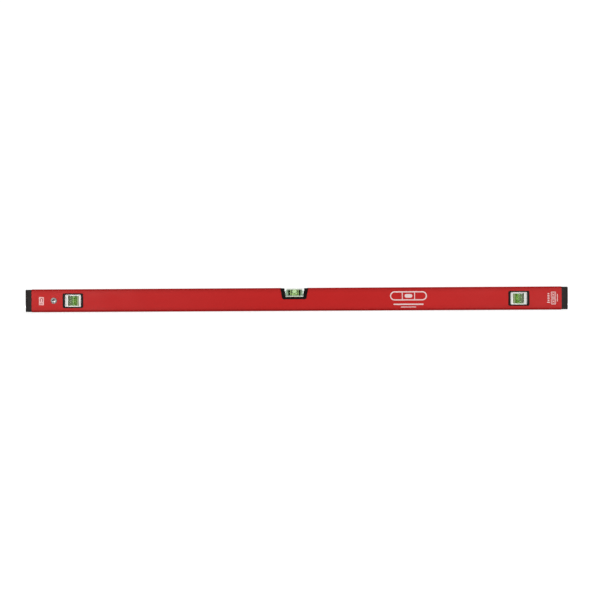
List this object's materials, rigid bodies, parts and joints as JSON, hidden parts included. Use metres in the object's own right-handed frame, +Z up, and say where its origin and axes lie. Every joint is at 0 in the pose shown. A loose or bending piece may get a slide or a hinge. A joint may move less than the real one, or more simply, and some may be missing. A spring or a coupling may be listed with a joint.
{
  "type": "spirit level",
  "caption": "Box-section aluminium spirit level with a horizontal centre vial, vertical plumb vials near the ends, a hanging eyelet, soft end caps and base magnets.",
  "frame": {"origin": "on the milled base, under the middle of the level", "axes": "+X along the level towards the end without the eyelet, -Y out of the front face, +Z up from the base"},
  "size_m": [1.2, 0.023, 0.051],
  "materials": {
    "red_powder_coat": "satin",
    "cap_rubber": "matte",
    "black_plastic": "satin",
    "white_plastic": "satin",
    "clear_acrylic": "gloss",
    "green_acrylic": "gloss",
    "green_liquid": "gloss",
    "bubble": "gloss",
    "ring_black": "satin",
    "clear_resin": "gloss",
    "eyelet_steel": "satin",
    "magnet_nickel": "satin"
  },
  "bodies": {
    "level": {"profile": "red_powder_coat", "hanging_eyelet": "eyelet_steel", "eyelet_washer": "eyelet_steel", "base_magnets": "magnet_nickel", "magnet_holders": "black_plastic", "centre_cradle_front": "black_plastic", "centre_cradle_rear": "black_plastic", "centre_vial_block": "clear_acrylic", "centre_vial_rings": "ring_black", "centre_vial_plugs": "clear_acrylic", "centre_vial_liquid": "green_liquid", "centre_vial_resin_bed": "clear_resin", "left_end_plug": "black_plastic", "left_end_cap": "cap_rubber", "left_bezel_front": "black_plastic", "left_bezel_rear": "black_plastic", "left_vial_carrier": "white_plastic", "left_vial_block": "green_acrylic", "left_vial_rings": "ring_black", "left_vial_plugs": "green_acrylic", "left_vial_liquid": "green_liquid", "left_vial_resin_bed": "clear_resin", "right_end_plug": "black_plastic", "right_end_cap": "cap_rubber", "right_bezel_front": "black_plastic", "right_bezel_rear": "black_plastic", "right_vial_carrier": "white_plastic", "right_vial_block": "green_acrylic", "right_vial_rings": "ring_black", "right_vial_plugs": "green_acrylic", "right_vial_liquid": "green_liquid", "right_vial_resin_bed": "clear_resin"},
    "centre_bubble": {"centre_vial_bubble": "bubble"},
    "left_bubble": {"left_vial_bubble": "bubble"},
    "right_bubble": {"right_vial_bubble": "bubble"}
  },
  "joints": [
    {"name": "centre_bubble_slide", "type": "slide", "parent": "level", "child": "centre_bubble", "axis": [1, 0, 0], "range_m": [-0.011, 0.011]},
    {"name": "left_bubble_slide", "type": "slide", "parent": "level", "child": "left_bubble", "axis": [0, 0, 1], "range_m": [-0.0026, 0.0026]},
    {"name": "right_bubble_slide", "type": "slide", "parent": "level", "child": "right_bubble", "axis": [0, 0, 1], "range_m": [-0.0026, 0.0026]}
  ]
}
